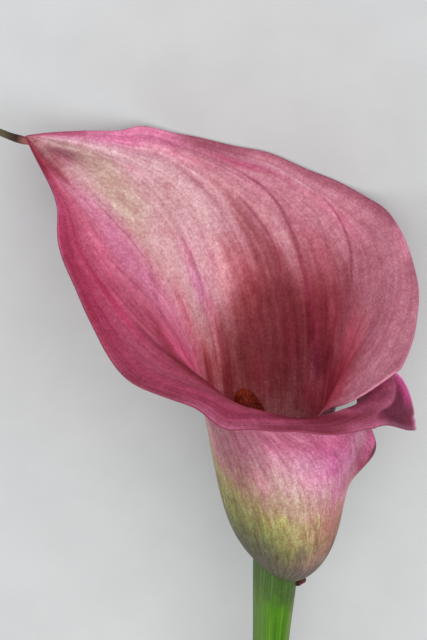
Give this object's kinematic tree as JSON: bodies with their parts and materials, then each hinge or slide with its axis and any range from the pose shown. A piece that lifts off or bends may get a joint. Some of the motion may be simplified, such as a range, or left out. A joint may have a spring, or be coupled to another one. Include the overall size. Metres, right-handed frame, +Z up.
{
  "type": "calla lily flower",
  "caption": "Cut calla lily lying on its back: a pink spathe rolled into an open funnel with a pointed tip, a floret-covered spadix inside it, and a plain green stem.",
  "frame": {"origin": "centre of the bounding box's bottom face, on the surface that the flower lies on", "axes": "+Y along the stem towards the flower's mouth, +Z up, away from the surface the flower lies on, +X towards the side where the spathe's margins overlap"},
  "size_m": [0.0948, 0.2822, 0.0648],
  "materials": {
    "stem": "smooth waxy green plant tissue",
    "spathe": "satin, translucent pink petal tissue with fine veins",
    "spadix": "rough, covered with small florets"
  },
  "bodies": {
    "root": {"stem": "stem", "spathe": "spathe", "spadix": "spadix"}
  },
  "joints": []
}
